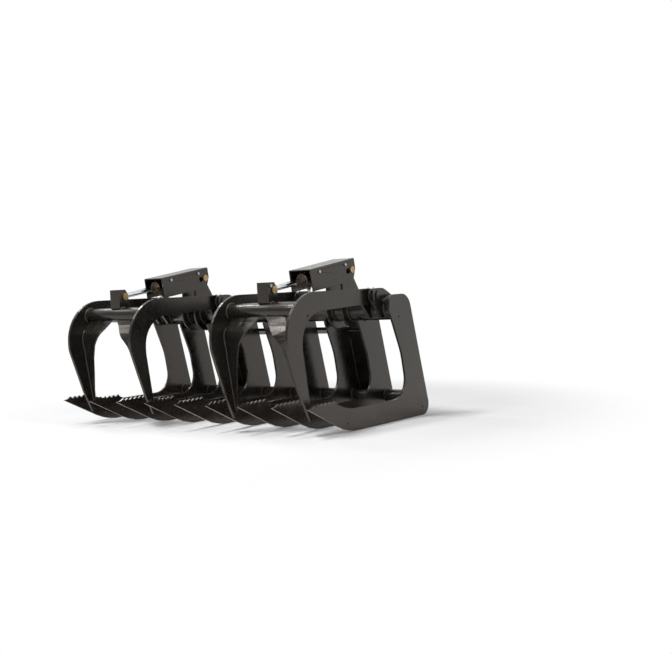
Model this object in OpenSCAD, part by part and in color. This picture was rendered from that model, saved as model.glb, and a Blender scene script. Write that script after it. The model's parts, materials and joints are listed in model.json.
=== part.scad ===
// Two-arm root grapple: a floor of nine upright plates, two clamp arms and two cylinders.
// +X runs along the cross tube, -Y points at the tips, +Z is up and Z = 0 is the ground.
// Sizes along Y are measured from the axis of the cross tube unless they say otherwise.

/* [Floor plates] */
// Overall width over the two side plates
frame_w = 1829; // [1650:1:2000]
// Thickness of the side plates and floor tines
plate_t = 12.7; // [10:0.1:16]
// Distance from the cross tube's axis forward to the tips
floor_reach = 792; // [720:1:860]
// Height of the tips above the ground
tip_h = 150; // [135:1:165]
// Height of the floor plates where they run level
floor_h = 113; // [104:1:122]
// Distance from the tips back to where the underside meets the ground
toe_len = 305; // [280:1:330]
// Distance from the tips back to the foot of the rise towards the teeth
dip_len = 306; // [285:1:320]
// Distance from the tips back to the first tooth
tooth_start = 27; // [20:1:34]
// Distance from the tips back to the last tooth
tooth_end = 217; // [205:1:230]
// Height of a tooth
tooth_h = 13; // [8:0.5:16]
// Number of teeth on a plate
tooth_count = 6; // [4:1:8]
// Distance from the cross tube's axis back to the heel, at the ground
heel_back = 258; // [248:1:280]
// Radius of the heel
heel_r = 60; // [45:1:70]
// Distance from the cross tube's axis back to the plates' rear edge, at the axis's height
nape_back = 119; // [110:1:128]
// Distance from the cross tube's axis back to the jaw's lower corner
jaw_back = 51; // [40:1:60]
// Radius of the jaw's lower corner
jaw_r = 108; // [95:1:118]
// Distance from the cross tube's axis back to the jaw's knee
knee_back = 14; // [4:1:22]

/* [Cross tubes] */
// Outer diameter of the cross tube
tube_d = 127; // [114:0.5:133]
// Wall of the cross tube
tube_wall = 9.5; // [6:0.1:12]
// Height of the cross tube's axis
tube_h = 595; // [585:1:610]
// Outer diameter of the heel pipe
heel_pipe_d = 60.3; // [48:0.1:66]
// Wall of the heel pipe
heel_pipe_wall = 5.5; // [4:0.1:8]
// Distance from the cross tube's axis back to the heel pipe's axis
heel_pipe_back = 171; // [160:1:180]
// Height of the heel pipe's axis
heel_pipe_h = 107; // [95:1:120]

/* [Side plate heads] */
// Height of the head above the cross tube's axis
head_up = 73; // [68:1:80]
// Distance of the head's front edge ahead of the cross tube's axis
head_fwd = 80; // [74:1:86]

/* [Arm hinges] */
// Distance of the hinge axis ahead of the cross tube's axis
pivot_fwd = 100; // [92:1:112]
// Height of the hinge axis above the cross tube's axis
pivot_up = 71; // [62:1:82]
// Diameter of the hinge pins
hinge_pin_d = 44.45; // [38:0.05:48]
// Outer diameter of the hinge bushes
bush_d = 54; // [52:0.5:57]
// Outer diameter of the hubs on the arms
hub_d = 66; // [62:0.5:70]
// Length of a hub
hub_len = 57; // [48:1:64]
// Thickness of a hinge ear
ear_t = 19; // [14:0.5:22]

/* [Arms] */
// Thickness of the arm plates
arm_t = 16; // [12:0.5:20]
// Distance of the arm's front ahead of the hinge axis
arm_reach = 709; // [690:1:725]
// Height of the arm's top edge above the hinge axis
arm_top_up = 47; // [42:1:52]
// Radius of the arm's front corner
arm_corner_r = 228; // [200:1:238]
// Radius of the arm's end around the hinge axis
arm_end_r = 39; // [37:0.5:42]
// Distance of the arm's tip ahead of the hinge axis
arm_tip_fwd = 556; // [545:1:568]
// Depth of the arm's tip below the hinge axis
arm_tip_down = 592; // [575:1:600]
// Outer diameter of the tube across an arm
arm_tube_d = 82.5; // [76:0.5:89]
// Wall of the tube across an arm
arm_tube_wall = 7; // [5:0.5:9]
// Distance of the arm tube's axis ahead of the hinge axis
arm_tube_fwd = 545; // [540:1:550]
// Depth of the arm tube's axis below the hinge axis
arm_tube_down = 41; // [36:1:44]
// Thickness of the arm's inner flanges
flange_t = 10; // [8:0.5:12]

/* [Cylinders] */
// Distance of the base pin ahead of the cross tube's axis
base_pin_fwd = 20; // [14:1:30]
// Height of the base pin above the cross tube's axis
base_pin_up = 216; // [210:1:222]
// Distance of the rod pin ahead of the hinge axis
rod_pin_fwd = 530; // [526:1:534]
// Height of the rod pin above the hinge axis
rod_pin_up = 62; // [58:1:68]
// Diameter of the cylinder's two pins
cyl_pin_d = 31.75; // [28:0.05:34]
// Bore of the barrel
bore_d = 63.5; // [57:0.1:66]
// Outer diameter of the barrel
barrel_d = 76; // [74:0.5:80]
// Distance from the base pin to the end of the gland
barrel_len = 342; // [330:1:350]
// Diameter of the rod
rod_d = 30; // [26:0.5:34]
// Diameter of the rod's eye
rod_eye_d = 54; // [52:0.5:56]

/* [Guards and brackets] */
// Width between the guard's sides
guard_gap = 136; // [132:0.5:144]
// Thickness of the guard's sheet
guard_t = 6; // [4:0.5:8]
// Length of the guard ahead of the base pin
guard_len = 352; // [345:1:365]
// Height of the guard's top above the cylinder's axis
guard_up = 60; // [59:0.5:66]
// Width over the tower plates
tower_w = 118; // [110:0.5:128]
// Radius of the tower plates around the cross tube
tower_ring_r = 103; // [95:1:108]
// Width over the rod bracket's cheeks
bracket_w = 76; // [68:0.5:82]
// Thickness of the rod bracket's plates
bracket_t = 12; // [10:0.5:13]

/* [Coupler frame] */
// Width over the coupler frame
coupler_w = 1118; // [1080:1:1130]
// Height of the coupler frame along its slope
coupler_h = 445; // [420:1:460]
// Thickness of the coupler plates
coupler_t = 10; // [8:0.5:12]
// Width of a coupler plate
coupler_plate_w = 230; // [200:1:260]
// Depth of the bottom flange
shelf_depth = 65; // [60:1:72]
// Distance from an end of the bottom flange to the middle of its wedge slot
slot_inset = 76.5; // [60:0.5:90]
// Length of a wedge slot along the frame
slot_len = 72; // [60:1:80]
// Width of a wedge slot
slot_w = 32; // [26:1:36]

/* [Hidden] */
$fn = 64;

// Clearances and the overrun of cuts
seat_gap = 0.3;
run_gap = 0.05;
press_gap = 0.02;
side_gap = 1;
over = 1;
arc_step_deg = 9;

// Floor plates: count, pitch and the shape of their edges
plate_count = 9;
pitch = (frame_w - plate_t) / (plate_count - 1);
side_x = (frame_w - plate_t) / 2;
toe_r = 350;
dip_r = 300;
dip_rise = 41;
tooth_lean_share = 0.3;
head_front_r = 40;
head_rear_r = 80;
jaw_turn_r = 140;
knee_r = 300;
knee_share = 0.496;
knee_h = floor_h + knee_share * (tube_h - floor_h);
jaw_top_down = 11;
jaw_top_h = tube_h - jaw_top_down;
nose_r = 12;
saddle_front_down = 55;
saddle_rear_up = 5;
vent_d = 10;
vent_down = 47;
toe_hole_fwd = 490;
toe_hole_h = 45;
heel_hole_back = 182;
heel_hole_h = 45;

// Hinge places: shares of the plate pitch, counted inwards from the side plate
outer_tine_bay_share = 0.415;
inner_tine_bay_share = 2.66;
outer_tine_x = side_x - outer_tine_bay_share * pitch;
inner_tine_x = side_x - inner_tine_bay_share * pitch;
arm_x = (outer_tine_x + inner_tine_x) / 2;
pivot = [-pivot_fwd, tube_h + pivot_up];
ear_x = hub_len / 2 + side_gap + ear_t / 2;
ear_front = 48;
ear_under = 36;
ear_over = 40;
ear_crown_back = 45;
ear_tail_up = 68;
ear_tail_back = 24;
ear_foot_fwd = 75;
ear_foot_down = 53;
ear_r = 14;
ear_crown_r = 85;
flag_r = 27;
flag_t = 8;
flag_bolt_back = 38;
flag_bolt_down = 28;
flag_lug_r = 14;
flag_bolt_d = 12;
flag_head_d = 22;
flag_head_h = 8;
pin_tail = 6;

// Arm plates: corners as offsets from the hinge axis
arm_chin_down = 226;
arm_chin_r = 150;
arm_shin_set_back = 93;
arm_shin_fwd = arm_reach - arm_shin_set_back;
arm_shin_rise = 106;
arm_shin_down = arm_tip_down - arm_shin_rise;
arm_front_w = 112;
arm_inner_fwd = arm_reach - arm_front_w;
arm_inner_down = 60;
arm_inner_r = 165;
arm_calf_down = 256;
arm_calf_r = 200;
arm_heel_w = 49;
arm_heel_fwd = arm_shin_fwd - arm_heel_w;
arm_heel_rise = 116;
arm_heel_down = arm_tip_down - arm_heel_rise;
arm_tip_w = 9;
arm_vent_down = 31;

// Inner flanges: rows of height below the hinge axis, reach and width, as shares
// of the tip's depth, the arm's reach and half the clear span between the plates
flange_shares = [
    [0.118, 0.828, 0.92], [0.160, 0.842, 0.82], [0.200, 0.863, 0.74], [0.237, 0.884, 0.66],
    [0.275, 0.893, 0.59], [0.314, 0.889, 0.51], [0.353, 0.884, 0.44], [0.392, 0.877, 0.40],
    [0.470, 0.870, 0.34], [0.547, 0.860, 0.30], [0.627, 0.850, 0.26], [0.706, 0.839, 0.21],
    [0.785, 0.829, 0.16], [0.870, 0.818, 0.12], [0.930, 0.808, 0.08]
];
flange_fold_share = 0.5;
flange_set_back = 18;
half_span = (outer_tine_x - inner_tine_x - arm_t) / 2 - seat_gap;

// Rod bracket: corners as offsets from the rod pin
bracket_front = 43;
bracket_rear = 25;
bracket_top = 40;
bracket_chamfer_y = 21;
bracket_chamfer_z = 30;
bracket_front_down = 64;
bracket_saddle_down = 72;
bracket_rear_down = 57;
bracket_pin_head_d = 40;
bracket_pin_head_t = 7;
bracket_bolt_fwd = 26;
bracket_bolt_up = 22;
bracket_bolt_d = 10;
bracket_bolt_head_d = 18;
bracket_bolt_head_h = 6.5;

// Cylinder: axis from the base pin to the rod pin
base_pin = [-base_pin_fwd, tube_h + base_pin_up];
rod_pin = [pivot[0] - rod_pin_fwd, pivot[1] + rod_pin_up];
cyl_run = rod_pin - base_pin;
cyl_len = norm(cyl_run);
cyl_dip = atan2(-cyl_run[1], -cyl_run[0]);
tower_t = 13;
base_eye_d = 66;
base_eye_w = tower_w - 2 * tower_t - 2 * side_gap;
base_cap = 50;
gland_plug = 45;
gland_head = 12;
gland_seal_w = 6;
gland_seal_depth = 4;
gland_seal_in = 14;
gland_recess_d = 58;
gland_recess = 3;
gland_lip_d = 42;
spanner_hole_d = 6;
spanner_hole_depth = 5;
piston_len = 35;
piston_rest = 5;
piston_seal_w = 8;
piston_seal_depth = 5;
rod_eye_w = bracket_w - 2 * bracket_t - 4 * side_gap;
rod_shoulder = 36;
port_along = [105, 296];
port_boss_d = 30;
port_boss_h = 8;
port_thread_d = 16;
fitting_hex_d = 25;
fitting_hex_h = 9;
fitting_nose_d = 14.3;
fitting_nose_len = 14;
fitting_bore_d = 8;

// Tower plates
tower_front = 90;
tower_front_up = 140;
tower_rear = 88;
tower_rear_up = 52;
tower_neck_up = 177;
tower_boss_r = 32;
tower_cheek = 12;
base_pin_collar_d = 37;
base_pin_collar_t = 6;

// Guard: corners along and across the cylinder's axis
guard_tail = 34;
guard_tail_low = 3;
guard_tail_turn_r = 16;
guard_skirt_front = 58;
guard_skirt_rear = 62;
guard_bend_r = 8;
guard_bolt_along = [54, 281];
guard_bolt_d = 10;
guard_bolt_head_d = 18;
guard_bolt_head_h = 6.5;
guard_boss_d = 24;
guard_bolt_up = 36;
guard_bolt_in = 20;
guard_port_along = 34;
guard_port_up = -3;
guard_port_d = 30;

// Coupler frame, drawn square and then leant against the plates' rear edges
lean = atan((heel_back - nape_back) / tube_h);
shelf_t = 12;
shelf_low = 58;
rail_len = 58;
rail_t = 12;
rail_angle = 45;
coupler_top = shelf_low + coupler_h;
slot_out = 36;
slot_spacing = coupler_w - 2 * slot_inset;

// Everything is moved along Y so that the origin is under the middle of the whole
y_rear = heel_back + shelf_depth * cos(lean) - shelf_low * sin(lean);
y_front = -max(floor_reach, pivot_fwd + arm_reach);
mid_y = -(y_rear + y_front) / 2;

paint = "#34322f";
paint_dark = "#26241f";
chrome = "#d9dcdf";
zinc = "#c8a35a";
bolt_metal = "#a9abad";
bronze = "#a9783a";
rubber = "#1a1a1a";

// Rounded outlines: each corner is [y, z, radius]
function unit(v) = v / norm(v);
function flat(p) = [p[0], p[1]];
function corner(a, b, c) =
    b[2] == 0 ? [flat(b)] :
    let (u = unit(flat(a) - flat(b)), w = unit(flat(c) - flat(b)),
         half = acos(u * w) / 2,
         centre = flat(b) + unit(u + w) * b[2] / sin(half),
         first = flat(b) + u * b[2] / tan(half) - centre,
         from = atan2(first[1], first[0]),
         turn = (180 - 2 * half) * (cross(u, w) > 0 ? -1 : 1),
         steps = max(2, ceil(abs(turn) / arc_step_deg)))
    [for (k = [0:steps]) centre + b[2] * [cos(from + turn * k / steps), sin(from + turn * k / steps)]];
function rounded(pts) =
    let (n = len(pts))
    [for (i = [0:n - 1]) each corner(pts[(i + n - 1) % n], pts[i], pts[(i + 1) % n])];

// Placing: mirrored sides, shapes drawn in Y and Z and thickened along X, bars along X
module centred() { translate([0, mid_y, 0]) children(); }
module on_side(s) { if (s < 0) mirror([1, 0, 0]) children(); else children(); }
module thick(x, t) { translate([x - t / 2, 0, 0]) rotate([90, 0, 90]) linear_extrude(t) children(); }
module bar(x, len, at, d) {
    translate([x - len / 2, at[0], at[1]]) rotate([0, 90, 0]) cylinder(h = len, d = d);
}
module along_cylinder() {
    translate([arm_x, base_pin[0], base_pin[1]]) rotate([90 + cyl_dip, 0, 0]) children();
}

// Floor plates: the underside, the teeth and the jaw are alike on all nine
function teeth() =
    let (step = (tooth_end - tooth_start) / tooth_count,
         foot = floor_h + dip_rise)
    [for (k = [tooth_count - 1:-1:0])
        each [[tooth_start + (k + 1) * step - floor_reach, foot, 0],
              [tooth_start + (k + 1 - tooth_lean_share) * step - floor_reach, foot + tooth_h, 0]]];
function under_edge() = [
    [-floor_reach, tip_h, 0],
    [toe_len - floor_reach, 0, toe_r],
    [heel_back, 0, heel_r]
];
function upper_edge() = concat(
    [[knee_back, knee_h, knee_r], [jaw_back, floor_h, jaw_r], [dip_len - floor_reach, floor_h, dip_r]],
    teeth(),
    [[tooth_start - floor_reach, floor_h + dip_rise, 0]]
);
function rear_y(z) = heel_back - (heel_back - nape_back) * z / tube_h;
function jaw_y(z) = knee_back - (knee_back + head_fwd) * (z - knee_h) / (jaw_top_h - knee_h);

module plate_holes() {
    translate([-toe_hole_fwd, toe_hole_h]) circle(d = vent_d);
    translate([heel_hole_back, heel_hole_h]) circle(d = vent_d);
}
module side_plate() {
    top = tube_h + head_up;
    color(paint)
    thick(side_x, plate_t) difference() {
        polygon(rounded(concat(
            under_edge(),
            [[rear_y(top), top, head_rear_r], [-head_fwd, top, head_front_r],
             [-head_fwd, jaw_top_h, jaw_turn_r]],
            upper_edge())));
        plate_holes();
        translate([0, tube_h - vent_down]) circle(d = vent_d);
    }
}
module floor_tine(i) {
    top = tube_h + saddle_rear_up;
    nose = tube_h - saddle_front_down;
    color(paint)
    thick(i * pitch - side_x, plate_t) difference() {
        polygon(rounded(concat(
            under_edge(),
            [[rear_y(top), top, nose_r], [0, top, 0], [0, nose, 0], [jaw_y(nose), nose, nose_r]],
            upper_edge())));
        translate([0, tube_h]) circle(d = tube_d + 2 * seat_gap);
        translate([heel_pipe_back, heel_pipe_h]) circle(d = heel_pipe_d + 2 * seat_gap);
    }
}

// Cross tubes between the side plates
module across(at, d, wall) {
    len = 2 * side_x - plate_t - 2 * seat_gap;
    difference() {
        bar(0, len, at, d);
        bar(0, len + 2 * over, at, d - 2 * wall);
    }
}
module cross_tube() { color(paint) across([0, tube_h], tube_d, tube_wall); }
module heel_pipe() { color(paint) across([heel_pipe_back, heel_pipe_h], heel_pipe_d, heel_pipe_wall); }

// Coupler frame for the loader's hook and wedges
module leant() { translate([0, heel_back, 0]) rotate([lean, 0, 0]) children(); }
module coupler_shelf() {
    color(paint)
    leant() difference() {
        translate([-coupler_w / 2, seat_gap, shelf_low])
            cube([coupler_w, shelf_depth - seat_gap, shelf_t]);
        for (s = [-1, 1])
            translate([s * slot_spacing / 2, slot_out, shelf_low - over])
                linear_extrude(shelf_t + 2 * over)
                    for (e = [-1, 1]) {
                        translate([e * (slot_len - slot_w) / 2, 0]) circle(d = slot_w);
                        translate([-(slot_len - slot_w) / 2, -slot_w / 2])
                            square([slot_len - slot_w, slot_w]);
                    }
    }
}
module coupler_top_rail() {
    drop = rail_t / cos(rail_angle);
    out = rail_len * cos(rail_angle);
    fall = rail_len * sin(rail_angle);
    color(paint)
    leant() thick(0, coupler_w) polygon([
        [seat_gap, coupler_top], [seat_gap, coupler_top - drop],
        [seat_gap + out - drop / 2, coupler_top - fall - drop / 2],
        [seat_gap + out, coupler_top - fall]
    ]);
}
module coupler_plates() {
    low = shelf_low + shelf_t + seat_gap;
    high = coupler_top - rail_t / cos(rail_angle) - (coupler_t + seat_gap) * tan(rail_angle) - seat_gap;
    color(paint)
    leant() for (s = [-1, 1])
        translate([s * (coupler_w - coupler_plate_w) / 2 - coupler_plate_w / 2, seat_gap, low])
            cube([coupler_plate_w, coupler_t, high - low]);
}

// Hinge ears on the cross tube, four to an arm
module ear_outline() {
    p = pivot;
    difference() {
        polygon(rounded([
            [p[0] - ear_front, p[1] - ear_under, ear_r],
            [-ear_foot_fwd, tube_h - ear_foot_down, 0],
            [0, tube_h, 0],
            [ear_tail_back, tube_h + ear_tail_up, 0],
            [p[0] + ear_crown_back, p[1] + ear_over, ear_crown_r],
            [p[0] - ear_front, p[1] + ear_over, ear_r]
        ]));
        translate([0, tube_h]) circle(d = tube_d + 2 * seat_gap);
    }
}
module hinge_ears() {
    color(paint_dark)
    for (x = [outer_tine_x, inner_tine_x])
        for (s = [-1, 1])
            difference() {
                thick(x + s * ear_x, ear_t) ear_outline();
                bar(x + s * ear_x, ear_t + 2 * over, pivot, hinge_pin_d + 2 * run_gap);
                bar(x + s * ear_x, ear_t + 2 * over, flag_bolt_at(), flag_bolt_d + 2 * run_gap);
            }
}

// Hinge pins with a flag that a bolt holds to the ear
function flag_bolt_at() = [pivot[0] + flag_bolt_back, pivot[1] - flag_bolt_down];
function flag_face() = ear_x + ear_t / 2 + seat_gap;
module hinge_pin(x, s) {
    inner = ear_x + ear_t / 2 + pin_tail;
    len = inner + flag_face();
    bar(x + s * (flag_face() - len / 2), len, pivot, hinge_pin_d);
    difference() {
        thick(x + s * (flag_face() + flag_t / 2), flag_t) difference() {
            union() {
                translate(pivot) circle(r = flag_r);
                hull() {
                    translate(pivot) circle(r = flag_lug_r);
                    translate(flag_bolt_at()) circle(r = flag_lug_r);
                }
            }
            translate([0, tube_h]) circle(d = tube_d + 2 * side_gap);
        }
        bar(x + s * (flag_face() + flag_t / 2), flag_t + 2 * over, flag_bolt_at(),
            flag_bolt_d + 2 * run_gap);
    }
}
module hinge_pins() {
    color(paint_dark) {
        hinge_pin(outer_tine_x, 1);
        hinge_pin(inner_tine_x, -1);
    }
}
module flag_bolt(x, s) {
    shank = ear_t + flag_t;
    face = flag_face() + flag_t + press_gap;
    bar(x + s * (face - shank / 2), shank, flag_bolt_at(), flag_bolt_d);
    translate([x + s * (face + flag_head_h / 2) - flag_head_h / 2, flag_bolt_at()[0], flag_bolt_at()[1]])
        rotate([0, 90, 0]) cylinder(h = flag_head_h, d = flag_head_d, $fn = 6);
}
module hinge_pin_bolts() {
    color(bolt_metal)
    for (side = [-1, 1])
        on_side(side) {
            flag_bolt(outer_tine_x, 1);
            flag_bolt(inner_tine_x, -1);
        }
}

// Tower plates wrap the cross tube and carry the cylinder's base pin
module tower_plates() {
    color(paint)
    for (s = [-1, 1])
        thick(arm_x + s * (tower_w - tower_t) / 2, tower_t) difference() {
            union() {
                translate([0, tube_h]) circle(r = tower_ring_r);
                translate(base_pin) circle(r = tower_boss_r);
                polygon([
                    [-tower_front, tube_h], [tower_front, tube_h],
                    [tower_rear, tube_h + tower_rear_up],
                    [base_pin[0] + tower_boss_r, tube_h + tower_neck_up],
                    [base_pin[0] + tower_boss_r, base_pin[1]],
                    [base_pin[0] - tower_boss_r, base_pin[1] + tower_cheek],
                    [-tower_front, tube_h + tower_front_up]
                ]);
            }
            translate([0, tube_h]) circle(d = tube_d + 2 * seat_gap);
            translate(base_pin) circle(d = cyl_pin_d + 2 * run_gap);
        }
}
module base_pin_piece() {
    face = guard_gap / 2 + guard_t + side_gap;
    color(zinc) {
        bar(arm_x, 2 * (face + base_pin_collar_t), base_pin, cyl_pin_d);
        for (s = [-1, 1])
            bar(arm_x + s * (face + base_pin_collar_t / 2), base_pin_collar_t, base_pin, base_pin_collar_d);
    }
}

// Arm plates with the hub that turns on the hinge pin
function arm_tube_at() = [pivot[0] - arm_tube_fwd, pivot[1] - arm_tube_down];
function from_pivot(fwd, up, r = 0) = [pivot[0] - fwd, pivot[1] + up, r];
module arm_tine(x) {
    at = arm_tube_at();
    color(paint)
    difference() {
        union() {
            thick(x, arm_t) union() {
                polygon(rounded([
                    from_pivot(arm_tip_fwd, -arm_tip_down),
                    from_pivot(arm_heel_fwd, -arm_heel_down, arm_calf_r),
                    from_pivot(arm_inner_fwd, -arm_calf_down, arm_calf_r),
                    from_pivot(arm_inner_fwd, -arm_inner_down, arm_inner_r),
                    from_pivot(0, -arm_end_r),
                    from_pivot(0, arm_end_r),
                    from_pivot(arm_reach, arm_top_up, arm_corner_r),
                    from_pivot(arm_reach, -arm_chin_down, arm_chin_r),
                    from_pivot(arm_shin_fwd, -arm_shin_down, arm_calf_r),
                    from_pivot(arm_tip_fwd + arm_tip_w, -arm_tip_down)
                ]));
                translate(pivot) circle(r = arm_end_r);
            }
            bar(x, hub_len, pivot, hub_d);
        }
        bar(x, hub_len + 2 * over, pivot, bush_d + 2 * press_gap);
        bar(x, arm_t + 2 * over, [at[0], at[1] - arm_vent_down], vent_d);
    }
}
module hinge_bushes() {
    color(bronze)
    for (x = [outer_tine_x, inner_tine_x])
        difference() {
            bar(x, hub_len, pivot, bush_d);
            bar(x, hub_len + 2 * over, pivot, hinge_pin_d + 2 * run_gap);
        }
}

// Inner flanges: a folded plate that tapers from the arm tube down each tine
function flange_row(i) =
    let (row = flange_shares[i],
         z = pivot[1] - row[0] * arm_tip_down,
         front = pivot[0] - row[1] * arm_reach,
         root = front + flange_set_back,
         w = row[2] * half_span,
         fold = w * flange_fold_share)
    [[0, root, z], [fold, root, z], [w, front, z],
     [w, front + flange_t, z], [fold, root + flange_t, z], [0, root + flange_t, z]];
module flange() {
    rows = len(flange_shares);
    ring = 6;
    points = [for (i = [0:rows - 1]) each flange_row(i)];
    first = (rows - 1) * ring;
    sides = [for (i = [0:rows - 2]) for (k = [0:ring - 1])
        let (a = i * ring + k, b = i * ring + (k + 1) % ring)
        each [[a, b, b + ring], [a, b + ring, a + ring]]];
    top = [[5, 4, 1, 0], [4, 3, 2, 1]];
    bottom = [[first, first + 1, first + 4, first + 5], [first + 1, first + 2, first + 3, first + 4]];
    polyhedron(points = points, faces = concat(sides, top, bottom));
}
module arm_flanges() {
    color(paint)
    difference() {
        union() {
            translate([inner_tine_x + arm_t / 2 + seat_gap, 0, 0]) flange();
            translate([outer_tine_x - arm_t / 2 - seat_gap, 0, 0]) mirror([1, 0, 0]) flange();
        }
        bar(arm_x, 2 * half_span, arm_tube_at(), arm_tube_d + 2 * seat_gap);
    }
}
module arm_tube() {
    len = outer_tine_x - inner_tine_x - arm_t - 2 * seat_gap;
    color(paint)
    difference() {
        bar(arm_x, len, arm_tube_at(), arm_tube_d);
        bar(arm_x, len + 2 * over, arm_tube_at(), arm_tube_d - 2 * arm_tube_wall);
    }
}

// Rod bracket: a front plate and two cheeks, saddled on the arm tube
function bracket_bolt_at() = [rod_pin[0] - bracket_bolt_fwd, rod_pin[1] + bracket_bolt_up];
module rod_bracket() {
    p = rod_pin;
    low = p[1] - bracket_front_down;
    color(paint_dark)
    difference() {
        union() {
            thick(arm_x, bracket_w) polygon([
                [p[0] - bracket_front, low], [p[0] - bracket_front + bracket_t, low],
                [p[0] - bracket_front + bracket_t, p[1] + bracket_top],
                [p[0] - bracket_front, p[1] + bracket_top]
            ]);
            for (s = [-1, 1])
                thick(arm_x + s * (bracket_w - bracket_t) / 2, bracket_t) polygon([
                    [p[0] - bracket_front, low],
                    [p[0] - bracket_front + bracket_t, p[1] - bracket_saddle_down],
                    [p[0] + bracket_rear, p[1] - bracket_rear_down],
                    [p[0] + bracket_rear, p[1] + bracket_top - bracket_chamfer_z],
                    [p[0] + bracket_rear - bracket_chamfer_y, p[1] + bracket_top],
                    [p[0] - bracket_front, p[1] + bracket_top]
                ]);
        }
        bar(arm_x, bracket_w + 2 * over, arm_tube_at(), arm_tube_d + 2 * seat_gap);
        bar(arm_x, bracket_w + 2 * over, rod_pin, cyl_pin_d + 2 * run_gap);
        bar(arm_x + bracket_w / 2, bracket_t, bracket_bolt_at(), bracket_bolt_d + 2 * run_gap);
    }
}
module rod_pin_ends() {
    color(zinc)
    for (s = [-1, 1]) {
        bar(arm_x + s * (bracket_w - bracket_t) / 2, bracket_t + 2 * seat_gap, rod_pin, cyl_pin_d);
        bar(arm_x + s * (bracket_w / 2 + seat_gap + bracket_pin_head_t / 2), bracket_pin_head_t,
            rod_pin, bracket_pin_head_d);
    }
}
module rod_pin_bolt() {
    at = bracket_bolt_at();
    face = arm_x + bracket_w / 2 + seat_gap;
    color(bolt_metal) {
        bar(face - bracket_t / 4, bracket_t / 2, at, bracket_bolt_d);
        translate([face, at[0], at[1]])
            rotate([0, 90, 0]) cylinder(h = bracket_bolt_head_h, d = bracket_bolt_head_d, $fn = 6);
    }
}

// Cylinder barrel, drawn along its axis with the base pin at the origin and +Y above it
module ring_z(from, len, outer, inner) {
    translate([0, 0, from]) difference() {
        cylinder(h = len, d = outer);
        translate([0, 0, -over]) cylinder(h = len + 2 * over, d = inner);
    }
}
module barrel() {
    tube_end = barrel_len - gland_head - seat_gap;
    boss_end = guard_gap / 2 - seat_gap;
    color(paint_dark)
    along_cylinder() difference() {
        union() {
            translate([-base_eye_w / 2, 0, 0]) rotate([0, 90, 0]) cylinder(h = base_eye_w, d = base_eye_d);
            cylinder(h = base_cap, d = base_eye_d - 2 * side_gap);
            translate([0, 0, base_eye_d / 2]) cylinder(h = tube_end - base_eye_d / 2, d = barrel_d);
            for (at = port_along)
                translate([0, 0, at]) rotate([90, 0, 0]) cylinder(h = barrel_d / 2 + port_boss_h, d = port_boss_d);
            for (at = guard_bolt_along)
                translate([-boss_end, guard_bolt_up, at]) rotate([0, 90, 0])
                    cylinder(h = 2 * boss_end, d = guard_boss_d);
        }
        translate([-base_eye_w / 2 - over, 0, 0])
            rotate([0, 90, 0]) cylinder(h = base_eye_w + 2 * over, d = cyl_pin_d + 2 * run_gap);
        translate([0, 0, base_cap]) cylinder(h = tube_end, d = bore_d);
        for (at = guard_bolt_along)
            for (s = [-1, 1])
                translate([s * (boss_end + over), guard_bolt_up, at]) rotate([0, -s * 90, 0])
                    cylinder(h = guard_bolt_in + side_gap + over, d = guard_bolt_d + 2 * run_gap);
        for (at = port_along)
            translate([0, 0, at]) rotate([90, 0, 0])
                cylinder(h = barrel_d / 2 + port_boss_h + over, d = port_thread_d);
    }
}
module gland() {
    plug_from = barrel_len - gland_head - gland_plug;
    color(paint_dark)
    along_cylinder() difference() {
        union() {
            translate([0, 0, plug_from])
                cylinder(h = gland_plug, d = bore_d - 2 * press_gap);
            translate([0, 0, barrel_len - gland_head]) cylinder(h = gland_head, d = barrel_d);
        }
        translate([0, 0, plug_from - over])
            cylinder(h = gland_plug + gland_head + 2 * over, d = rod_d + 2 * run_gap);
        translate([0, 0, gland_seal_from()])
            cylinder(h = gland_seal_w, d = rod_d + 2 * gland_seal_depth);
        ring_z(barrel_len - gland_recess, gland_recess + over, gland_recess_d, gland_lip_d);
        for (s = [-1, 1])
            translate([0, s * (barrel_d + gland_recess_d) / 4, barrel_len - spanner_hole_depth])
                cylinder(h = spanner_hole_depth + over, d = spanner_hole_d);
    }
}
function gland_seal_from() = barrel_len - gland_seal_in;
module gland_seal() {
    color(rubber)
    along_cylinder()
        ring_z(gland_seal_from() + press_gap, gland_seal_w - 2 * press_gap,
            rod_d + 2 * gland_seal_depth - 2 * press_gap, rod_d + 2 * run_gap);
}
module port_fittings() {
    color(bolt_metal)
    along_cylinder()
        for (at = port_along)
            translate([0, -(barrel_d / 2 + port_boss_h + seat_gap), at]) rotate([90, 0, 0]) difference() {
                union() {
                    translate([0, 0, -port_boss_h]) cylinder(h = port_boss_h, d = port_thread_d - 2 * run_gap);
                    cylinder(h = fitting_hex_h, d = fitting_hex_d, $fn = 6);
                    translate([0, 0, fitting_hex_h]) cylinder(h = fitting_nose_len, d = fitting_nose_d);
                }
                translate([0, 0, -port_boss_h - over])
                    cylinder(h = port_boss_h + fitting_hex_h + fitting_nose_len + 2 * over, d = fitting_bore_d);
            }
}

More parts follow.
